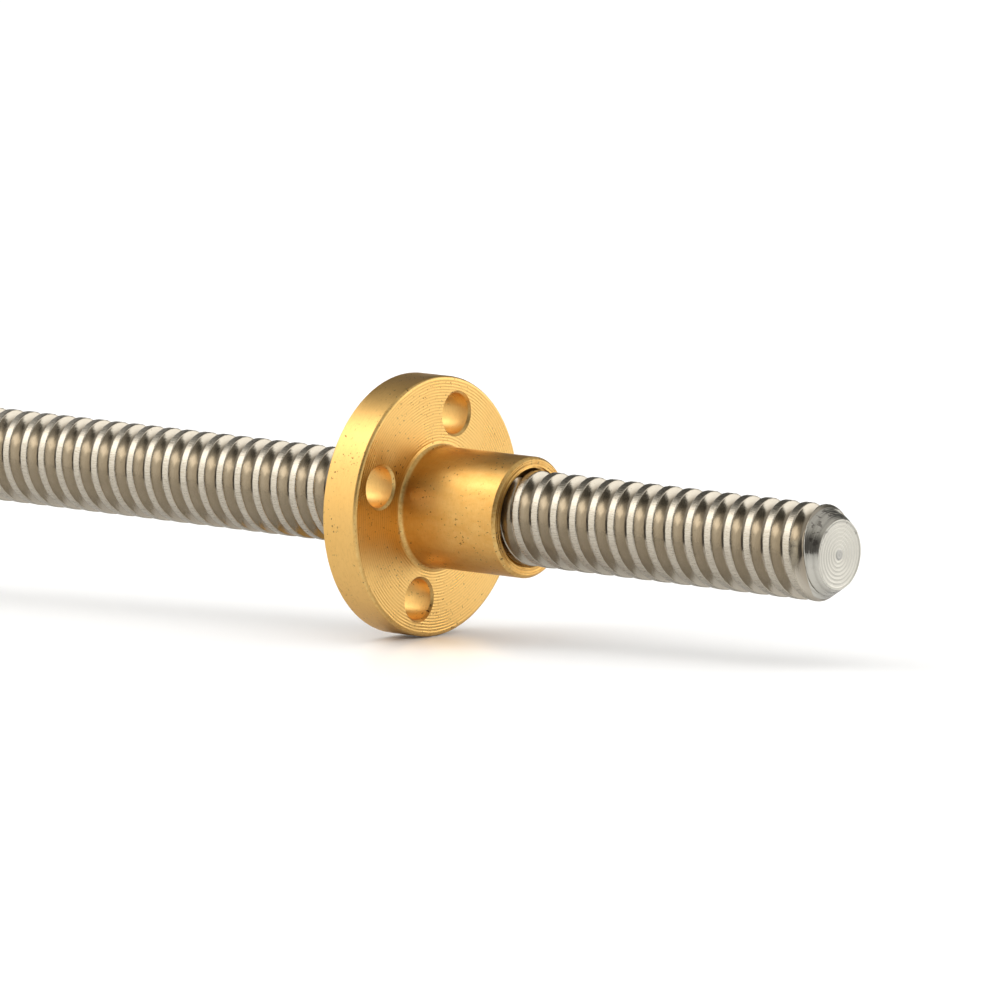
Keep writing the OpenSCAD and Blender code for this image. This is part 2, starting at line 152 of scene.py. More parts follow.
class Nodes:
    """A new material and short ways to add nodes to it."""

    def __init__(self, name):
        self.material = bpy.data.materials.new(name)
        self.material.use_nodes = True
        self.tree = self.material.node_tree
        self.shader = self.tree.nodes["Principled BSDF"]
        self.bumps = []

    def node(self, kind, inputs=None, **settings):
        made = self.tree.nodes.new(kind)
        for key, value in settings.items():
            setattr(made, key, value)
        for key, value in (inputs or {}).items():
            self.put(made.inputs[key], value)
        return made

    def put(self, socket, value):
        if isinstance(value, bpy.types.NodeSocket):
            self.tree.links.new(value, socket)
        else:
            socket.default_value = value

    def set(self, **inputs):
        for key, value in inputs.items():
            self.put(self.shader.inputs[key.replace("_", " ")], value)

    def place(self):
        """The point on the object, in millimetres."""
        coordinates = self.node("ShaderNodeTexCoord").outputs["Object"]
        scaled = self.node("ShaderNodeVectorMath", {0: coordinates, 3: 1 / MM}, operation="SCALE")
        return scaled.outputs[0]

    def stretch(self, point, scale):
        return self.node("ShaderNodeVectorMath", {0: point, 1: scale}, operation="MULTIPLY").outputs[0]

    def radius(self, point):
        """Distance from the screw's axis."""
        return self.node("ShaderNodeVectorMath", {0: self.stretch(point, (0, 1, 1))},
                         operation="LENGTH").outputs["Value"]

    def math(self, operation, a, b=0.0, clamp=False):
        return self.node("ShaderNodeMath", {0: a, 1: b}, operation=operation,
                         use_clamp=clamp).outputs[0]

    def noise(self, point, scale, detail=3.0, roughness=0.5):
        made = self.node("ShaderNodeTexNoise", {"Vector": point, "Scale": scale, "Detail": detail,
                                                "Roughness": roughness})
        return made.outputs["Fac"]

    def ramp(self, value, low, high, out_low=0.0, out_high=1.0):
        made = self.node("ShaderNodeMapRange", {"Value": value, "From Min": low, "From Max": high,
                                                "To Min": out_low, "To Max": out_high})
        return made.outputs["Result"]

    def mix(self, share, a, b):
        made = self.node("ShaderNodeMix", data_type="RGBA")
        self.put(made.inputs["Factor"], share)
        self.put(made.inputs["A"], a if isinstance(a, bpy.types.NodeSocket) else (*a, 1))
        self.put(made.inputs["B"], b if isinstance(b, bpy.types.NodeSocket) else (*b, 1))
        return made.outputs["Result"]

    def bump(self, height, distance, strength=1.0):
        """Adds a height, in millimetres, to the material's bump."""
        inputs = {"Height": height, "Distance": distance * MM, "Strength": strength}
        if self.bumps:
            inputs["Normal"] = self.bumps[-1]
        self.bumps.append(self.node("ShaderNodeBump", inputs).outputs["Normal"])
        self.put(self.shader.inputs["Normal"], self.bumps[-1])


# ---- Materials ----

def screw_steel():
    """Rolled steel: lighter scratched crests, smooth warm valleys with painted shade at the root."""
    # The first tone is painted shade for the valley floors; the second is for dirt specks.
    painted_root_shade_tone, speck_tone = (0.38, 0.32, 0.24), (0.20, 0.17, 0.14)
    m = Nodes("screw_steel")
    point = m.place()
    radius = m.radius(point)
    crest = m.ramp(radius, CREST_R - 0.12, CREST_R - 0.03)
    painted_root_shade = m.ramp(radius, CREST_R - 0.45, ROOT_R)
    cloud = m.noise(point, 0.45, 3)
    scratch = m.noise(m.stretch(point, (9.0, 1.2, 1.2)), 1.6, 4, 0.6)
    grain = m.noise(m.stretch(point, (0.6, 5.0, 5.0)), 2.4, 4, 0.65)
    specks = m.ramp(m.noise(point, 4.2, 2), 0.68, 0.76)
    steel = m.mix(cloud, (0.50, 0.45, 0.37), (0.57, 0.52, 0.44))
    # Painted shade: the valleys darken and warm towards their root.
    steel = m.mix(m.math("MULTIPLY", painted_root_shade, 0.85), steel, painted_root_shade_tone)
    worn_tone = m.mix(m.ramp(grain, 0.35, 0.65), (0.42, 0.375, 0.30), (0.58, 0.53, 0.445))
    steel = m.mix(crest, steel, worn_tone)
    steel = m.mix(m.math("MULTIPLY", specks, 0.55), steel, speck_tone)
    smooth = m.ramp(scratch, 0.3, 0.7, 0.14, 0.21)
    worn = m.ramp(grain, 0.3, 0.7, 0.22, 0.36)
    blend = m.node("ShaderNodeMix", {"Factor": crest}, data_type="FLOAT")
    m.put(blend.inputs["A"], smooth)
    m.put(blend.inputs["B"], worn)
    m.set(Base_Color=steel, Metallic=1.0, Roughness=blend.outputs["Result"])
    m.bump(scratch, 0.006, 0.5)
    m.bump(m.math("MULTIPLY", grain, crest), 0.02, 0.6)
    return m.material


def cut_steel():
    """The turned end of the screw: fine rings round the axis, a grey pip and a few nicks."""
    ring_tone, nick_tone, pip_tone = (0.36, 0.35, 0.31), (0.20, 0.18, 0.16), (0.33, 0.33, 0.33)
    fine_pitch = 0.11
    m = Nodes("cut_steel")
    point = m.place()
    radius = m.radius(point)
    uneven = m.noise(point, 0.9, 2)
    turns = m.math("ADD", m.math("MULTIPLY", radius, 1 / RING_PITCH),
                   m.math("MULTIPLY", uneven, 0.25))
    rings = m.math("SINE", m.math("MULTIPLY", turns, TURN))
    fine = m.math("SINE", m.math("MULTIPLY", radius, TURN / fine_pitch))
    upper = m.ramp(m.node("ShaderNodeSeparateXYZ", {0: point}).outputs[2], 0.0, 1.5, 0.15, 1.0)
    near_rim = m.math("MULTIPLY", m.ramp(radius, END_R - 0.7, END_R - 0.1), upper)
    nick = m.math("MULTIPLY", m.ramp(m.noise(point, 2.2, 3), 0.59, 0.63), near_rim)
    steel = m.mix(m.noise(point, 0.8), (0.60, 0.58, 0.52), (0.70, 0.68, 0.62))
    steel = m.mix(m.ramp(rings, 0.0, 1.0, 0.0, 0.38), steel, ring_tone)
    steel = m.mix(m.math("MULTIPLY", nick, 0.7), steel, nick_tone)
    steel = m.mix(m.ramp(radius, 0.52, 0.40, 0.0, 0.55), steel, pip_tone)
    rough = m.ramp(radius, END_R, END_R + 0.1, 0.34, 0.17)
    rough = m.math("ADD", rough, m.math("MULTIPLY", fine, 0.04))
    m.set(Base_Color=steel, Metallic=1.0, Roughness=rough)
    m.bump(rings, 0.012, 0.6)
    m.bump(fine, 0.005, 0.6)
    return m.material


def turned_brass():
    """Turned brass: rings on the flange's faces, brushing on its side, dirt in patches."""
    stain_tone, brushed_tone = (0.72, 0.35, 0.07), (0.62, 0.34, 0.09)
    # The bright worn tone is a painted highlight for edges that face the free end, broken up like
    # wear.
    dull_tone, worn_tone, dirt_tone = (0.50, 0.26, 0.06), (0.98, 0.70, 0.28), (0.10, 0.05, 0.02)
    ring_pitch = 0.25
    m = Nodes("turned_brass")
    point = m.place()
    radius = m.radius(point)
    normal = m.node("ShaderNodeTexCoord").outputs["Normal"]
    facing = m.node("ShaderNodeSeparateXYZ", {0: normal}).outputs[0]
    face = m.ramp(m.math("ABSOLUTE", facing), 0.8, 0.95)
    wobble = m.noise(point, 0.25, 2)
    turns = m.math("ADD", m.math("MULTIPLY", radius, 1 / ring_pitch),
                   m.math("MULTIPLY", wobble, 1.2))
    strength = m.ramp(m.noise(point, 0.5, 2), 0.35, 0.65, 0.45, 1.0)
    rings = m.math("MULTIPLY", m.math("SINE", m.math("MULTIPLY", turns, TURN)), strength)
    rings = m.math("MULTIPLY", rings, face)
    side = m.math("SUBTRACT", 1.0, face)
    brushed = m.noise(m.stretch(point, (7.0, 0.6, 0.6)), 2.0, 4, 0.65)
    barrel = m.ramp(radius, BARREL_R + 0.5, BARREL_R + 0.1)
    cloud = m.noise(point, 0.22, 4, 0.55)
    stain = m.noise(m.stretch(point, (0.5, 1.0, 1.0)), 0.9, 5, 0.65)
    grit = m.noise(point, 3.0, 4, 0.7)
    specks = m.ramp(m.noise(point, 3.6, 2, 0.6), 0.64, 0.69)
    patch = m.ramp(m.noise(point, 0.35, 2), 0.42, 0.60)
    brass = m.mix(cloud, (0.82, 0.48, 0.14), (0.90, 0.59, 0.21))
    stained = m.math("MULTIPLY", barrel, m.ramp(stain, 0.35, 0.7, 0.1, 0.75))
    brass = m.mix(stained, brass, stain_tone)
    brass = m.mix(m.ramp(rings, 0.0, 0.9, 0.0, 0.38), brass, dull_tone)
    brass = m.mix(m.ramp(grit, 0.55, 0.8, 0.0, 0.40), brass, dull_tone)
    streaks = m.math("MULTIPLY", m.ramp(brushed, 0.45, 0.75, 0.0, 0.35), side)
    brass = m.mix(streaks, brass, brushed_tone)
    # Painted highlight: rounded edges that face the free end turn bright, broken up by grit like wear.
    edge = m.math("MULTIPLY", m.ramp(facing, 0.20, 0.45), m.ramp(facing, 0.98, 0.85))
    worn = m.math("MULTIPLY", edge, m.ramp(grit, 0.35, 0.6, 0.75, 0.1))
    brass = m.mix(worn, brass, worn_tone)
    dirt = m.math("MULTIPLY", specks, m.math("MULTIPLY", patch, 0.9))
    brass = m.mix(dirt, brass, dirt_tone)
    satin = m.math("ADD", m.ramp(cloud, 0.3, 0.7, 0.24, 0.34), m.math("MULTIPLY", side, 0.10))
    m.set(Base_Color=brass, Metallic=1.0, Roughness=satin)
    m.bump(rings, 0.012, 0.7)
    m.bump(brushed, 0.016, 0.55)
    m.bump(grit, 0.012, 0.5)
    return m.material


def machined_aluminium():
    """Die-cast aluminium with milled faces: straight tool marks and a soft grain."""
    m = Nodes("machined_aluminium")
    point = m.place()
    marks = m.noise(m.stretch(point, (0.5, 0.5, 6.0)), 1.2, 3)
    grain = m.noise(point, 2.6, 4, 0.65)
    cloud = m.noise(point, 0.12, 3)
    metal = m.mix(cloud, (0.60, 0.60, 0.61), (0.72, 0.72, 0.73))
    m.set(Base_Color=metal, Metallic=1.0, Roughness=m.ramp(grain, 0.3, 0.7, 0.30, 0.46))
    m.bump(marks, 0.02, 0.35)
    m.bump(grain, 0.02, 0.4)
    return m.material


def black_laminations():
    """A stack of black-coated sheets, half a millimetre each."""
    m = Nodes("black_laminations")
    point = m.place()
    along = m.node("ShaderNodeSeparateXYZ", {0: point}).outputs[0]
    sheets = m.math("PINGPONG", along, SHEET_HALF)
    edges = m.ramp(sheets, 0.0, 0.07)
    worn = m.ramp(m.noise(point, 1.4, 5, 0.7), 0.58, 0.72)
    tone = m.mix(m.noise(point, 0.3, 3), (0.018, 0.018, 0.020), (0.04, 0.04, 0.043))
    tone = m.mix(m.math("MULTIPLY", worn, 0.25), tone, (0.16, 0.155, 0.15))
    m.set(Base_Color=tone, Metallic=0.2, Roughness=m.ramp(worn, 0, 1, 0.42, 0.3))
    m.bump(edges, 0.05, 0.6)
    m.bump(m.noise(point, 3.0, 3), 0.015, 0.4)
    return m.material


def black_zinc():
    """Black-plated fasteners with bright rubbed spots."""
    m = Nodes("black_zinc")
    point = m.place()
    rub = m.ramp(m.noise(point, 1.8, 4, 0.6), 0.55, 0.7)
    tone = m.mix(rub, (0.03, 0.03, 0.034), (0.14, 0.135, 0.13))
    m.set(Base_Color=tone, Metallic=1.0, Roughness=m.ramp(rub, 0, 1, 0.34, 0.26))
    m.bump(m.noise(point, 4.0, 3), 0.01, 0.5)
    return m.material


def polished_steel():
    """Ground and polished bearing steel with fine grinding lines round the axis."""
    m = Nodes("polished_steel")
    point = m.place()
    lines = m.noise(m.stretch(point, (8.0, 0.5, 0.5)), 2.0, 2)
    tone = m.mix(m.noise(point, 0.5), (0.62, 0.62, 0.63), (0.72, 0.72, 0.73))
    m.set(Base_Color=tone, Metallic=1.0, Roughness=m.ramp(lines, 0.3, 0.7, 0.10, 0.2))
    m.bump(lines, 0.006, 0.4)
    return m.material


def electrical_steel():
    """Ground rotor laminations."""
    m = Nodes("electrical_steel")
    point = m.place()
    along = m.node("ShaderNodeSeparateXYZ", {0: point}).outputs[0]
    sheets = m.ramp(m.math("PINGPONG", along, SHEET_HALF), 0.0, 0.05)
    tone = m.mix(m.noise(point, 0.6, 4), (0.30, 0.30, 0.31), (0.46, 0.46, 0.47))
    m.set(Base_Color=tone, Metallic=1.0, Roughness=m.ramp(sheets, 0, 1, 0.5, 0.32))
    m.bump(sheets, 0.03, 0.5)
    return m.material


def magnet_nickel():
    """Nickel-plated sintered magnet."""
    m = Nodes("magnet_nickel")
    point = m.place()
    grain = m.noise(point, 3.0, 4)
    tone = m.mix(grain, (0.34, 0.34, 0.35), (0.44, 0.44, 0.45))
    m.set(Base_Color=tone, Metallic=1.0, Roughness=m.ramp(grain, 0.3, 0.7, 0.22, 0.34))
    m.bump(grain, 0.01, 0.4)
    return m.material


def plain_brass():
    """Small pressed brass pieces inside the motor."""
    m = Nodes("plain_brass")
    point = m.place()
    cloud = m.noise(point, 0.6, 3)
    tone = m.mix(cloud, (0.74, 0.50, 0.18), (0.86, 0.63, 0.28))
    m.set(Base_Color=tone, Metallic=1.0, Roughness=m.ramp(cloud, 0.3, 0.7, 0.24, 0.36))
    m.bump(m.noise(m.stretch(point, (6, 1, 1)), 2.0), 0.01, 0.4)
    return m.material


def enamelled_copper():
    """Layers of enamelled wire, 0.3 mm thick."""
    wire_pitch = 0.3
    m = Nodes("enamelled_copper")
    point = m.place()
    radius = m.radius(point)
    wires = m.math("SINE", m.math("MULTIPLY", radius, TURN / wire_pitch))
    tone = m.mix(m.ramp(wires, -1, 1), (0.20, 0.05, 0.012), (0.62, 0.24, 0.07))
    m.set(Base_Color=tone, Metallic=0.6, Roughness=m.ramp(wires, -1, 1, 0.4, 0.24))
    m.set(Coat_Weight=0.5)
    m.bump(wires, 0.08, 0.7)
    return m.material


def moulded_nylon(name, dark, light):
    """Moulded nylon with a faint mould texture and slight yellowing."""
    m = Nodes(name)
    point = m.place()
    cloud = m.noise(point, 0.25, 3)
    grain = m.noise(point, 4.0, 3)
    m.set(Base_Color=m.mix(cloud, dark, light), Roughness=m.ramp(grain, 0.3, 0.7, 0.38, 0.52))
    m.set(Subsurface_Weight=0.08, Subsurface_Scale=0.001)
    m.bump(grain, 0.015, 0.4)
    return m.material


def tinned_metal():
    """Tinned contact pins."""
    m = Nodes("tinned_metal")
    point = m.place()
    cloud = m.noise(point, 1.5, 3)
    tone = m.mix(cloud, (0.70, 0.69, 0.64), (0.82, 0.81, 0.77))
    m.set(Base_Color=tone, Metallic=1.0, Roughness=m.ramp(cloud, 0.3, 0.7, 0.18, 0.3))
    m.bump(m.noise(point, 5.0), 0.006, 0.4)
    return m.material


def solder_mask():
    """A green circuit board with its faint glass weave."""
    weave_rate = 9.0
    m = Nodes("solder_mask")
    point = m.place()
    split = m.node("ShaderNodeSeparateXYZ", {0: point})
    warp = m.math("SINE", m.math("MULTIPLY", split.outputs[1], weave_rate))
    weft = m.math("SINE", m.math("MULTIPLY", split.outputs[2], weave_rate))
    weave = m.math("MULTIPLY", warp, weft)
    tone = m.mix(m.ramp(weave, -1, 1), (0.012, 0.10, 0.035), (0.02, 0.15, 0.055))
    m.set(Base_Color=tone, Roughness=m.ramp(m.noise(point, 0.6), 0.3, 0.7, 0.24, 0.36))
    m.bump(weave, 0.01, 0.4)
    return m.material


# ---- Mesh helpers ----

def new_piece(name, vertices, faces, body, node, materials):
    """A mesh from points in millimetres, riding a body and standing for a CAD node."""
    mesh = bpy.data.meshes.new(name)
    mesh.from_pydata([tuple(Vector(v) * MM) for v in vertices], [], faces)
    for material in materials:
        mesh.materials.append(material)
    return finish_piece(name, mesh, body, node)


def finish_piece(name, mesh, body, node):
    piece = bpy.data.objects.new(name, mesh)
    bpy.context.scene.collection.objects.link(piece)
    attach(piece, body)
    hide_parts(node)
    return piece


def on_circle(x, radius, angle):
    return (x, radius * math.cos(angle), radius * math.sin(angle))


def circle(x, radius, segments):
    """Points evenly round the axis at station x."""
    return [on_circle(x, radius, TURN * i / segments) for i in range(segments)]


def add_row(vertices, points):
    """Adds a row of points, and returns their numbers."""
    row = list(range(len(vertices), len(vertices) + len(points)))
    vertices.extend(points)
    return row


def bridge_rows(rows):
    """Quads between rows of equal length; each row is a ring."""
    faces = []
    count = len(rows[0])
    for low, high in zip(rows, rows[1:]):
        for i in range(count):
            j = (i + 1) % count
            faces.append((low[i], low[j], high[j], high[i]))
    return faces


def thread_profile():
    """(share of a pitch, radius) round one start, from one valley's middle to the next.

    A crest is flat with a slightly rounded edge. A valley is smoothly rounded, and steepest
    at the crest."""
    valley_steps, crest_steps = 9, 6
    edge_drop, edge_w = 0.03, 0.06
    roundness = 1 / 1.3
    half_valley = PITCH / 2 - CREST_HALF
    edge_r = CREST_R - edge_drop
    rising = []
    for k in range(valley_steps + 1):
        share = math.sin(k / valley_steps * math.pi / 2)
        radius = edge_r - (edge_r - ROOT_R) * (1 - share ** 2.0) ** roundness
        rising.append((half_valley * share, radius))
    falling = [(PITCH - place, radius) for place, radius in reversed(rising[1:])]
    crest_from = half_valley + edge_w
    crest_w = PITCH - 2 * crest_from
    crest = [(crest_from + crest_w * k / crest_steps, CREST_R) for k in range(crest_steps + 1)]
    return [(place / PITCH, radius) for place, radius in rising + crest + falling]


def thread_ring(x, extra=0.0):
    """(angle, radius) points of the thread's section at station x."""
    turn = THREAD_PHASE + TURN * x / LEAD
    start_angle = TURN / STARTS
    return [(turn + (start - 0.5 + share) * start_angle, radius + extra)
            for start in range(STARTS) for share, radius in thread_profile()]


def smooth_normals(piece):
    """Smooth shading that keeps sharp edges, with flat faces left flat."""
    mesh = piece.data
    mesh.polygons.foreach_set("use_smooth", [True] * len(mesh.polygons))
    mesh.set_sharp_from_angle(angle=math.radians(SHARP_ANGLE))
    weighted = piece.modifiers.new("weighted normals", "WEIGHTED_NORMAL")
    weighted.keep_sharp = True


def apply_modifiers(piece):
    depsgraph = bpy.context.evaluated_depsgraph_get()
    mesh = bpy.data.meshes.new_from_object(piece.evaluated_get(depsgraph))
    piece.modifiers.clear()
    piece.data = mesh


# ---- Lead screw ----

def stations(low, high, step):
    count = max(1, round((high - low) / step))
    return [low + (high - low) * i / count for i in range(count + 1)]


def tip_radius(x):
    """Radius of the turned chamfer at the free end."""
    share = (x - CHAMFER_FROM_X) / CHAMFER_L
    return CREST_R - max(share, 0) * (CREST_R - END_R)


def tip_ring(x):
    """The thread's section inside the chamfer, with its valleys running out near the end."""
    cone = tip_radius(x)
    fill = min(max((x - RUNOUT_FROM_X) / RUNOUT_L, 0), 1)
    fill = fill * fill * (3 - 2 * fill)
    ring = []
    for angle, radius in thread_ring(x):
        radius = min(radius, cone)
        ring.append((angle, radius + (cone - radius) * fill))
    return ring


def face_height(radius):
    """How far the end face stands back from its rim at a radius: turning rings and a pip."""
    rim_r, rim_h = 2.72, 0.05
    pip_r, pip_h = 0.42, 0.035
    ripple_h = 0.012
    if radius > rim_r:
        return 0.0
    ripple = ripple_h * math.sin(TURN * radius / RING_PITCH)
    pip = pip_h if radius < pip_r else 0.0
    return rim_h + ripple - pip


def sharpen_row(mesh, row):
    """Marks a ring of edges sharp."""
    ring = set(row)
    for edge in mesh.edges:
        edge.use_edge_sharp = edge.vertices[0] in ring and edge.vertices[1] in ring


def journal_outline():
    """(x, radius) of the plain bar inside the motor and the shoulder that the thread starts from."""
    bar_r, shoulder_r, shoulder_x = 2.5, 3.5, -2.5
    bar_edge, shoulder_edge = 0.3, 0.15
    centre_r = 0.001
    return [
        (JOURNAL_END_X, centre_r),
        (JOURNAL_END_X, bar_r - bar_edge),
        (JOURNAL_END_X + bar_edge, bar_r),
        (shoulder_x, bar_r),
        (shoulder_x, shoulder_r - shoulder_edge),
        (shoulder_x + shoulder_edge, shoulder_r),
        (-0.01, shoulder_r),
    ]


def end_face_radii():
    """Radii of the rings across the end face, from its rim to its middle."""
    rim = [END_R - 0.04, 2.74, 2.70]
    across = [2.65 - RING_PITCH / 4 * i for i in range(31)]
    return rim + across + [0.002]


def add_screw(steel, turned):
    rows, vertices = [], []
    first_angles = [angle for angle, _ in thread_ring(0)]
    for x, radius in journal_outline():
        rows.append(add_row(vertices, [on_circle(x, radius, angle) for angle in first_angles]))
    threaded = stations(0, CHAMFER_FROM_X, THREAD_STEP)
    for x in threaded + stations(CHAMFER_FROM_X + FINE_STEP, TIP_X, FINE_STEP):
        rows.append(add_row(vertices, [on_circle(x, radius, angle) for angle, radius in tip_ring(x)]))
    last_angles = [angle for angle, _ in thread_ring(TIP_X)]
    for radius in end_face_radii():
        x = TIP_X - face_height(radius)
        rows.append(add_row(vertices, [on_circle(x, radius, angle) for angle in last_angles]))
    piece = new_piece("threaded_screw", vertices, bridge_rows(rows), "rotor",
                      "lead_screw", [steel, turned])
    turned_row = next(i for i, row in enumerate(rows) if vertices[row[0]][0] > RUNOUT_FROM_X)
    face_row = next(i for i, row in enumerate(rows) if vertices[row[0]][0] >= TIP_X)
    for polygon in piece.data.polygons:
        row = polygon.index // len(rows[0])
        polygon.use_smooth = True
        polygon.material_index = 1 if row >= turned_row else 0
    sharpen_row(piece.data, rows[face_row])


# ---- Nut ----

def rounded(points, radius, steps=3):
    """An open outline with each inner corner replaced by an arc of about the given radius."""
    result = [points[0]]
    for before, corner, after in zip(points, points[1:], points[2:]):
        p, c, q = (Vector(v) for v in (before, corner, after))
        cut = min(radius, (p - c).length * 0.45, (q - c).length * 0.45)
        a = c + (p - c).normalized() * cut
        b = c + (q - c).normalized() * cut
        for i in range(steps + 1):
            t = i / steps
            result.append(tuple((1 - t) ** 2 * a + 2 * t * (1 - t) * c + t * t * b))
    result.append(points[-1])
    return result


def end_face(x, inward):
    """(x, radius) points from a nut end's bevel to its mouth, with two fine turned grooves."""
    bevel, groove_half, groove_depth = 0.25, 0.05, 0.04
    points = [(x + inward * bevel, BARREL_R), (x, BARREL_R - bevel)]
    for groove_r in (4.7, 4.46):
        points += [(x, groove_r + groove_half), (x + inward * groove_depth, groove_r),
                   (x, groove_r - groove_half)]
    return points


def nut_outline():
    """(x, radius) round the nut's outside, from the rear mouth to the front mouth."""
    back_edge, front_edge, collar = 0.1, 0.24, 0.45
    collar_steps, corner_r = 5, 0.06
    points = list(reversed(end_face(NUT_LOW.x, 1)))
    points += [
        (FLANGE_BACK_X, BARREL_R),
        (FLANGE_BACK_X, FLANGE_R - back_edge),
        (FLANGE_BACK_X + back_edge, FLANGE_R),
        (FLANGE_FRONT_X - front_edge, FLANGE_R),
        (FLANGE_FRONT_X - front_edge / 3, FLANGE_R - front_edge / 3),
        (FLANGE_FRONT_X, FLANGE_R - front_edge),
    ]
    for step in range(collar_steps + 1):
        angle = step / collar_steps * math.pi / 2
        points.append((FLANGE_FRONT_X + collar * (1 - math.cos(angle)),
                       BARREL_R + collar * (1 - math.sin(angle))))
    return rounded(points + end_face(NUT_HIGH.x, -1), corner_r)


def mouth_radius(x):
    """Radius of the countersink at each end of the nut's bore."""
    slope = 0.9
    depth = min(x - NUT_LOW.x, NUT_HIGH.x - x)
    return max(MOUTH_R - slope * depth, ROOT_R)


def bore_stations():
    """Places along the bore: close together in the two mouths, then in step with the thread."""
    mouth_l, thread_from = 1.6, 1.8
    rear = stations(NUT_LOW.x, NUT_LOW.x + mouth_l, MOUTH_STEP)
    middle = stations(NUT_LOW.x + thread_from, NUT_HIGH.x - thread_from, THREAD_STEP)
    front = stations(NUT_HIGH.x - mouth_l, NUT_HIGH.x, MOUTH_STEP)
    return rear + middle + front


def add_nut(brass):
    segments = 160
    vertices = []
    outer = [add_row(vertices, circle(x, radius, segments)) for x, radius in nut_outline()]
    inner = []
    for x in bore_stations():
        ring = thread_ring(x, NUT_GAP)
        inner.append(add_row(vertices, [on_circle(x, max(radius, mouth_radius(x)), angle)
                                        for angle, radius in ring]))
    faces = bridge_rows(outer) + [tuple(reversed(face)) for face in bridge_rows(inner)]
    piece = new_piece("brass_nut", vertices, faces, "nut", "flanged_nut", [brass])
    close_mouths(piece, outer, inner)
    cut_flange_holes(piece)
    smooth_normals(piece)
    apply_modifiers(piece)


def close_mouths(piece, outer, inner):
    """Joins the outside to the bore at both ends."""
    mesh = bmesh.new()
    mesh.from_mesh(piece.data)
    mesh.verts.ensure_lookup_table()
    for outer_row, inner_row in ((outer[0], inner[0]), (outer[-1], inner[-1])):
        edges = []
        for row in (outer_row, inner_row):
            ring = [mesh.verts[i] for i in row]
            for a, b in zip(ring, ring[1:] + ring[:1]):
                edges.append(mesh.edges.get((a, b)))
        bmesh.ops.bridge_loops(mesh, edges=edges)
    bmesh.ops.recalc_face_normals(mesh, faces=mesh.faces)
    mesh.to_mesh(piece.data)
    mesh.free()


def cut_flange_holes(piece):
    """Drills the four flange holes, with a small lead-in at the front."""
    segments, lead_in, beyond = 56, 0.2, 1.0
    outline = [
        (FLANGE_BACK_X - beyond, HOLE_R),
        (FLANGE_FRONT_X - lead_in, HOLE_R),
        (FLANGE_FRONT_X, HOLE_R + lead_in),
        (FLANGE_FRONT_X + beyond, HOLE_R + lead_in + beyond),
    ]
    vertices, faces = [], []
    for hole in range(4):
        centre = Vector(on_circle(0, HOLE_CIRCLE_R, HOLE_PHASE + hole * math.pi / 2))
        rows = [add_row(vertices, [centre + Vector(point) for point in circle(x, radius, segments)])
                for x, radius in outline]
        faces += bridge_rows(rows)
        faces += [tuple(reversed(rows[0])), tuple(rows[-1])]
    mesh = bpy.data.meshes.new("drill")
    mesh.from_pydata([tuple(v * MM) for v in vertices], [], faces)
    tool = bmesh.new()
    tool.from_mesh(mesh)
    bmesh.ops.recalc_face_normals(tool, faces=tool.faces)
    tool.to_mesh(mesh)
    tool.free()
    drill = bpy.data.objects.new("drill", mesh)
    bpy.context.scene.collection.objects.link(drill)
    cut = piece.modifiers.new("holes", "BOOLEAN")
    cut.operation = "DIFFERENCE"
    cut.solver = "EXACT"
    cut.object = drill
    apply_modifiers(piece)
    bpy.data.objects.remove(drill)


# ---- Motor ----

def add_softened(node, name, slot, width):
    """A copy of a motor's CAD node with its sharp edges rounded by a bevel of the given width."""
    weld, flat_angle, bevel_angle = 0.002, 0.6, 35
    mesh = frame["nodes"][node].data.copy()
    mesh.materials.clear()
    mesh.materials.append(FINISHES[slot])
    work = bmesh.new()
    work.from_mesh(mesh)
    bmesh.ops.remove_doubles(work, verts=work.verts, dist=weld * MM)
    bmesh.ops.dissolve_limit(work, angle_limit=math.radians(flat_angle), verts=work.verts,
                             edges=work.edges)
    for face in work.faces:
        face.material_index = 0
    work.to_mesh(mesh)
    work.free()
    if "custom_normal" in mesh.attributes:
        mesh.attributes.remove(mesh.attributes["custom_normal"])
    piece = finish_piece(name, mesh, "motor", node)
    bevel = piece.modifiers.new("edges", "BEVEL")
    bevel.width = width * MM
    bevel.segments = 2
    bevel.limit_method = "ANGLE"
    bevel.angle_limit = math.radians(bevel_angle)
    bevel.use_clamp_overlap = True
    smooth_normals(piece)
    apply_modifiers(piece)


def dress_nodes():
    """Gives every CAD node the material made for its slot."""
    for part in frame["record"]["subparts"]:
        node = frame["nodes"][part["node"]]
        node.data.materials.clear()
        node.data.materials.append(FINISHES[part["material_slot"]])


# ---- Studio ----

def add_floor():
    """A large white sheet that the motor's edge and the flange rest on, dimmer in reflections."""
    half_size, clearance = 6.0, 0.02
    contact = Vector((FLANGE_FRONT_X, 0, 0)) * MM - FLOOR_UP * FLANGE_R * MM
    across = FLOOR_UP.cross(FLOOR_ALONG)
    corners = [contact + (FLOOR_ALONG * i + across * j) * half_size
               for i, j in ((-1, -1), (1, -1), (1, 1), (-1, 1))]
    mesh = bpy.data.meshes.new("floor")
    mesh.from_pydata([tuple(c - FLOOR_UP * clearance * MM) for c in corners], [], [(0, 1, 2, 3)])
    m = Nodes("white_sheet")
    seen = m.node("ShaderNodeLightPath").outputs["Is Camera Ray"]
    m.set(Base_Color=m.mix(seen, (0.56, 0.56, 0.56), (0.9, 0.9, 0.9)), Roughness=0.32)
    mesh.materials.append(m.material)
    floor = bpy.data.objects.new("floor", mesh)
    bpy.context.scene.collection.objects.link(floor)


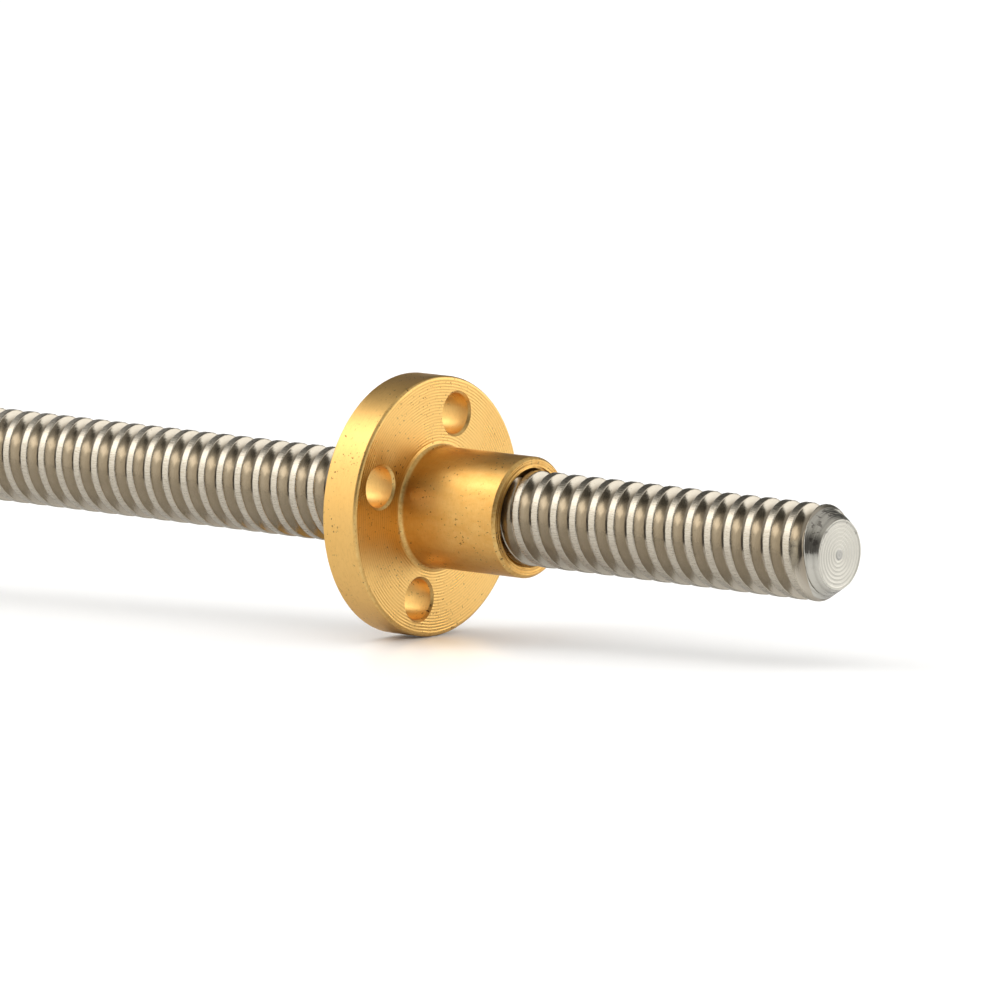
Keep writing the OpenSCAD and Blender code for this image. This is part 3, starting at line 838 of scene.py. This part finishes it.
def add_softbox(name, place, size, radiance, colour=(1, 1, 1), aim=(0, 0, -1), spin=0.0):
    """A softbox at a place, size in metres, shining along aim, turned about that by spin."""
    light = bpy.data.lights.new(name, "AREA")
    light.shape = "RECTANGLE"
    light.size = size[0]
    light.size_y = size[1]
    light.energy = radiance * math.pi * size[0] * size[1]
    light.color = colour
    box = bpy.data.objects.new(name, light)
    box.location = place
    turn = Vector(aim).to_track_quat("-Z", "Y") @ Quaternion((0, 0, 1), math.radians(spin))
    box.rotation_euler = turn.to_euler()
    box.visible_camera = False
    bpy.context.scene.collection.objects.link(box)


def add_world():
    """White to the camera. To the metal, a grey studio with soft bright and dim regions."""
    world = bpy.data.worlds.new("studio")
    world.use_nodes = True
    bpy.context.scene.world = world
    tree = world.node_tree
    tree.nodes.clear()
    direction = tree.nodes.new("ShaderNodeTexCoord").outputs["Generated"]
    total = None
    for aim, inner, outer, colour in STUDIO_REGIONS:
        dot = tree.nodes.new("ShaderNodeVectorMath")
        dot.operation = "DOT_PRODUCT"
        dot.inputs[1].default_value = Vector(aim).normalized()
        tree.links.new(direction, dot.inputs[0])
        share = tree.nodes.new("ShaderNodeMapRange")
        share.interpolation_type = "SMOOTHSTEP"
        share.inputs["From Min"].default_value = math.cos(math.radians(outer))
        share.inputs["From Max"].default_value = math.cos(math.radians(inner))
        tree.links.new(dot.outputs["Value"], share.inputs["Value"])
        blend = tree.nodes.new("ShaderNodeMix")
        blend.data_type = "RGBA"
        tree.links.new(share.outputs["Result"], blend.inputs["Factor"])
        blend.inputs["A"].default_value = (*STUDIO_GREY, 1)
        if total is not None:
            tree.links.new(total, blend.inputs["A"])
        blend.inputs["B"].default_value = (*colour, 1)
        total = blend.outputs["Result"]
    studio = tree.nodes.new("ShaderNodeBackground")
    tree.links.new(total, studio.inputs["Color"])
    white = tree.nodes.new("ShaderNodeBackground")
    white.inputs["Color"].default_value = (1, 1, 1, 1)
    path = tree.nodes.new("ShaderNodeLightPath")
    blend = tree.nodes.new("ShaderNodeMixShader")
    tree.links.new(path.outputs["Is Camera Ray"], blend.inputs["Fac"])
    tree.links.new(studio.outputs[0], blend.inputs[1])
    tree.links.new(white.outputs[0], blend.inputs[2])
    out = tree.nodes.new("ShaderNodeOutputWorld")
    tree.links.new(blend.outputs[0], out.inputs["Surface"])


def add_lights():
    """A softbox up to the left, a dim panel behind, and a wide sky with no reflection."""
    near_nut = Vector((TIP_X - 40, 0, 0)) * MM
    to_key = Vector((-0.75, -0.35, 0.80))
    add_softbox("key", near_nut + to_key, size=(0.60, 0.50), radiance=1.8,
                colour=(1, 0.98, 0.95), aim=-to_key)
    add_softbox("panel", Vector((-240, 195, 200)) * MM, size=(0.40, 0.65), radiance=0.4,
                spin=31.0)
    sky = bpy.data.objects.new("sky", bpy.data.lights.new("sky", "SUN"))
    sky.data.energy = 3.1
    sky.data.angle = math.radians(150)
    sky.rotation_euler = (-FLOOR_UP).to_track_quat("-Z", "Y").to_euler()
    sky.visible_camera = False
    sky.visible_glossy = False
    bpy.context.scene.collection.objects.link(sky)


# ---- The scene ----

bpy.context.scene.view_settings.view_transform = "Standard"
add_camera()
add_world()
add_lights()
add_floor()

FINISHES = {
    "bell_aluminium": machined_aluminium(),
    "stator_steel": black_laminations(),
    "electrical_steel": electrical_steel(),
    "screw_steel": screw_steel(),
    "bearing_steel": polished_steel(),
    "fastener_steel": black_zinc(),
    "brass": plain_brass(),
    "nut_brass": turned_brass(),
    "winding_copper": enamelled_copper(),
    "insulator_nylon": moulded_nylon("insulator_nylon", (0.70, 0.64, 0.48), (0.80, 0.75, 0.62)),
    "connector_nylon": moulded_nylon("connector_nylon", (0.78, 0.76, 0.69), (0.86, 0.85, 0.80)),
    "pin_metal": tinned_metal(),
    "board": solder_mask(),
    "magnet": magnet_nickel(),
}
dress_nodes()
add_screw(FINISHES["screw_steel"], cut_steel())
add_nut(FINISHES["nut_brass"])
add_softened("front_end_bell", "front_bell_cast", "bell_aluminium", 0.3)
add_softened("rear_end_bell", "rear_bell_cast", "bell_aluminium", 0.3)
add_softened("connector_housing", "connector_shell", "connector_nylon", 0.12)
